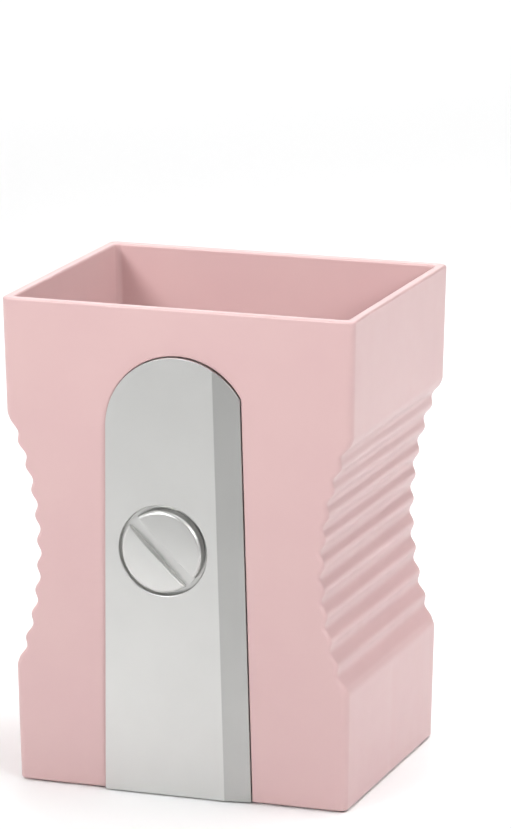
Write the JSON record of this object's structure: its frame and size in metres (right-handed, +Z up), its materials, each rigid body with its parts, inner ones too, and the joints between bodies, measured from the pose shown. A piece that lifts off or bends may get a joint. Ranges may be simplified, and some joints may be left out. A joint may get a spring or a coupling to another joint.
{
  "type": "pencil pot",
  "caption": "Open-topped pencil pot in the shape of an enlarged wedge sharpener: ribbed grips on both sides, an arched blade plate on the front and a domed slotted screw.",
  "frame": {"origin": "on the table under the middle of the pot", "axes": "+Z up, -Y out of the front with the blade plate, +X to the right of someone who faces the plate"},
  "size_m": [0.0736, 0.0621, 0.1],
  "materials": {
    "body_plastic": "pale pink moulded plastic with a soft satin gloss",
    "plate_paint": "moulded plastic sprayed with a smooth satin silver-grey paint",
    "screw_paint": "moulded plastic sprayed with a smooth satin silver-grey paint",
    "cover_plastic": "pale pink moulded plastic with a fine matt grain",
    "cover_screw_steel": "zinc-plated steel",
    "pad_foam": "off-white closed-cell foam"
  },
  "bodies": {
    "root": {"pot_body": "body_plastic", "blade_plate": "plate_paint", "blade_screw": "screw_paint", "base_cover": "cover_plastic", "cover_screw_1": "cover_screw_steel", "cover_screw_2": "cover_screw_steel", "cover_screw_3": "cover_screw_steel", "cover_screw_4": "cover_screw_steel", "foot_pad_1": "pad_foam", "foot_pad_2": "pad_foam", "foot_pad_3": "pad_foam", "foot_pad_4": "pad_foam"}
  },
  "joints": []
}
